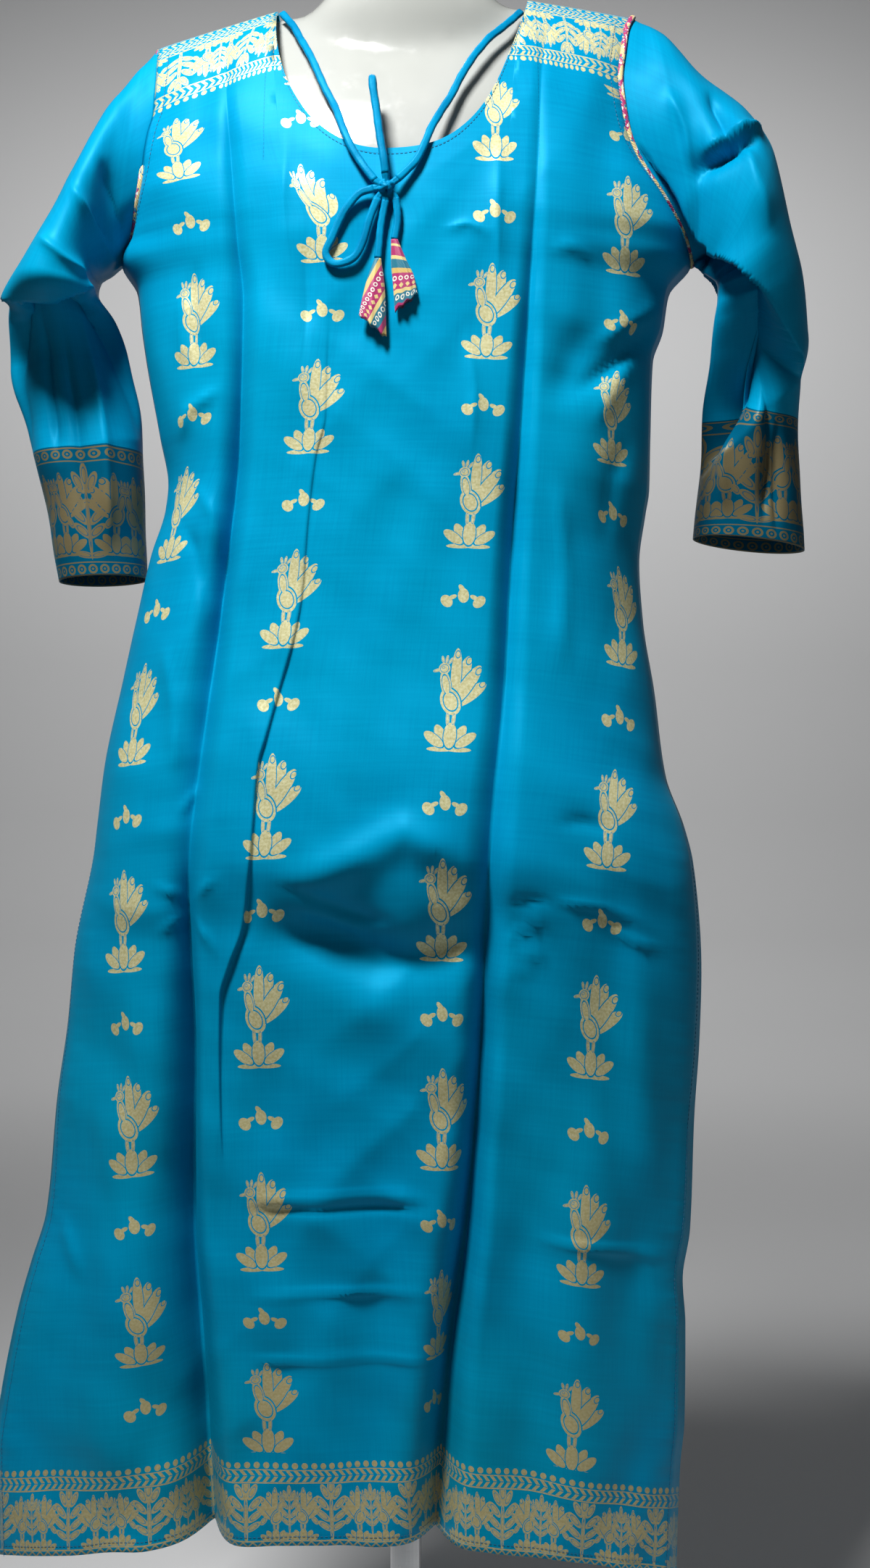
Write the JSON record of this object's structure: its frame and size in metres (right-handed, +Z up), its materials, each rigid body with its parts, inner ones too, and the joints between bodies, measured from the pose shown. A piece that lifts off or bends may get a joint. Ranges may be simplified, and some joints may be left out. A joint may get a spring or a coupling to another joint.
{
  "type": "kurti on a dress form",
  "caption": "Long straight kurti of shot silk with woven motifs, three-quarter sleeves and a tasselled neck tie, worn on a limbless display form.",
  "frame": {"origin": "centre of the base's foot, on the floor", "axes": "+Z up; the side with the neck tie, read as the back, faces -Y; +X is the right-hand side of that view"},
  "size_m": [0.6602, 0.33, 1.545],
  "materials": {
    "silk": "satin",
    "piping": "satin",
    "tie_cord": "satin",
    "tassel": "satin",
    "form_shell": "gloss",
    "steel": "brushed",
    "painted_base": "satin"
  },
  "bodies": {
    "root": {"back_panel": "silk", "front_panel": "silk", "sleeve_left": "silk", "sleeve_right": "silk", "armhole_piping_left": "piping", "armhole_piping_right": "piping", "tie_left": "tie_cord", "tie_right": "tie_cord", "bow_loop_left": "tie_cord", "bow_loop_up": "tie_cord", "tassel_string_left": "tie_cord", "tassel_string_right": "tie_cord", "tie_knot": "tie_cord", "tassel_left": "tassel", "tassel_right": "tassel", "form_torso": "form_shell", "form_pole": "steel", "form_base": "painted_base"}
  },
  "joints": []
}
